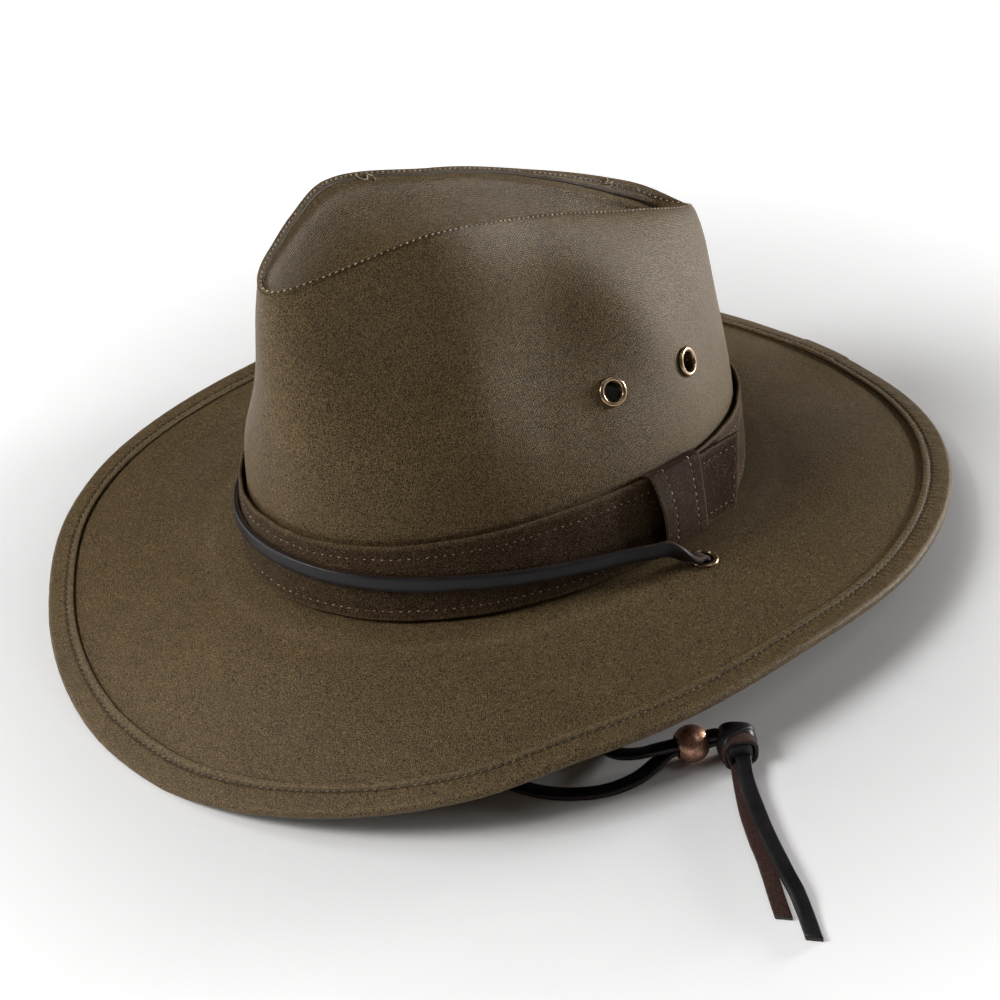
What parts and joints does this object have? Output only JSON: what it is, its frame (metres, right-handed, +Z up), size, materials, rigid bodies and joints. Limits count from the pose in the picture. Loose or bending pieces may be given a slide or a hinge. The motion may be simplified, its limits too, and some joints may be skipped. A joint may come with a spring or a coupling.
{
  "type": "bush hat",
  "caption": "Wide-brimmed hat of brown waxed cloth with a pinched, dipped crown, eyelet vents, cloth band and a leather chin lace with bead and knot.",
  "frame": {"origin": "bottom centre of the hat's bounding box without the free chin lace, on the surface it rests on", "axes": "+X to the wearer's left, -Y to the front of the hat, +Z up; the length from front to back runs along Y"},
  "size_m": [0.3985, 0.3673, 0.1677],
  "materials": {
    "waxed_cloth": "waxed, fine speckled weave",
    "binding_cloth": "waxed, close weave",
    "lace_leather": "smooth, slightly worn",
    "eyelet_metal": "antique, aged copper tone",
    "bead_metal": "mottled copper and brown"
  },
  "bodies": {
    "root": {"crown_side": "waxed_cloth", "crown_tip": "waxed_cloth", "brim": "waxed_cloth", "hat_band": "waxed_cloth", "band_tail": "waxed_cloth", "band_keeper": "waxed_cloth", "brim_binding": "binding_cloth", "vent_eyelet_left_front": "eyelet_metal", "vent_eyelet_left_back": "eyelet_metal", "vent_eyelet_right_front": "eyelet_metal", "vent_eyelet_right_back": "eyelet_metal", "lace_eyelet_left": "eyelet_metal", "lace_eyelet_right": "eyelet_metal", "lace_front": "lace_leather", "lace_left": "lace_leather", "lace_right": "lace_leather", "lace_knot": "lace_leather", "lace_tail_long": "lace_leather", "lace_tail_short": "lace_leather", "lace_bead": "bead_metal"}
  },
  "joints": []
}
